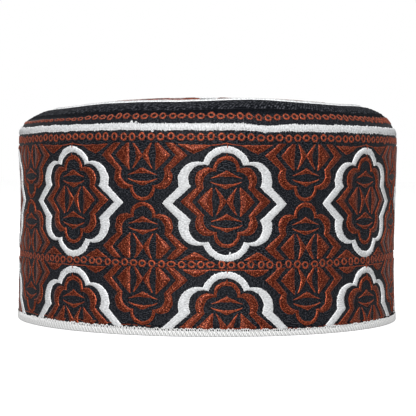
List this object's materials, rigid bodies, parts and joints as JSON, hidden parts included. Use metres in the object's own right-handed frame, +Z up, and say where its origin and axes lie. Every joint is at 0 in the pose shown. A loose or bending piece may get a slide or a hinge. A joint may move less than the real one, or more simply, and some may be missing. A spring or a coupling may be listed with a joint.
{
  "type": "kufi",
  "caption": "Round brimless cap with a stiff upright embroidered side, a low domed top and a white bound edge, open underneath for the head.",
  "frame": {"origin": "under the middle of the cap, on the surface that its bound edge rests on", "axes": "+Z up through the crown's middle; -Y is the front that the picture shows, +X to its right"},
  "size_m": [0.1896, 0.1896, 0.1092],
  "materials": {
    "black_cloth": "matt woven cotton",
    "white_binding": "matt knitted cotton edging",
    "white_thread": "satin embroidery thread",
    "rust_thread": "satin embroidery thread"
  },
  "bodies": {
    "root": {"side_band": "black_cloth", "crown": "black_cloth", "hem_binding": "white_binding"}
  },
  "joints": []
}
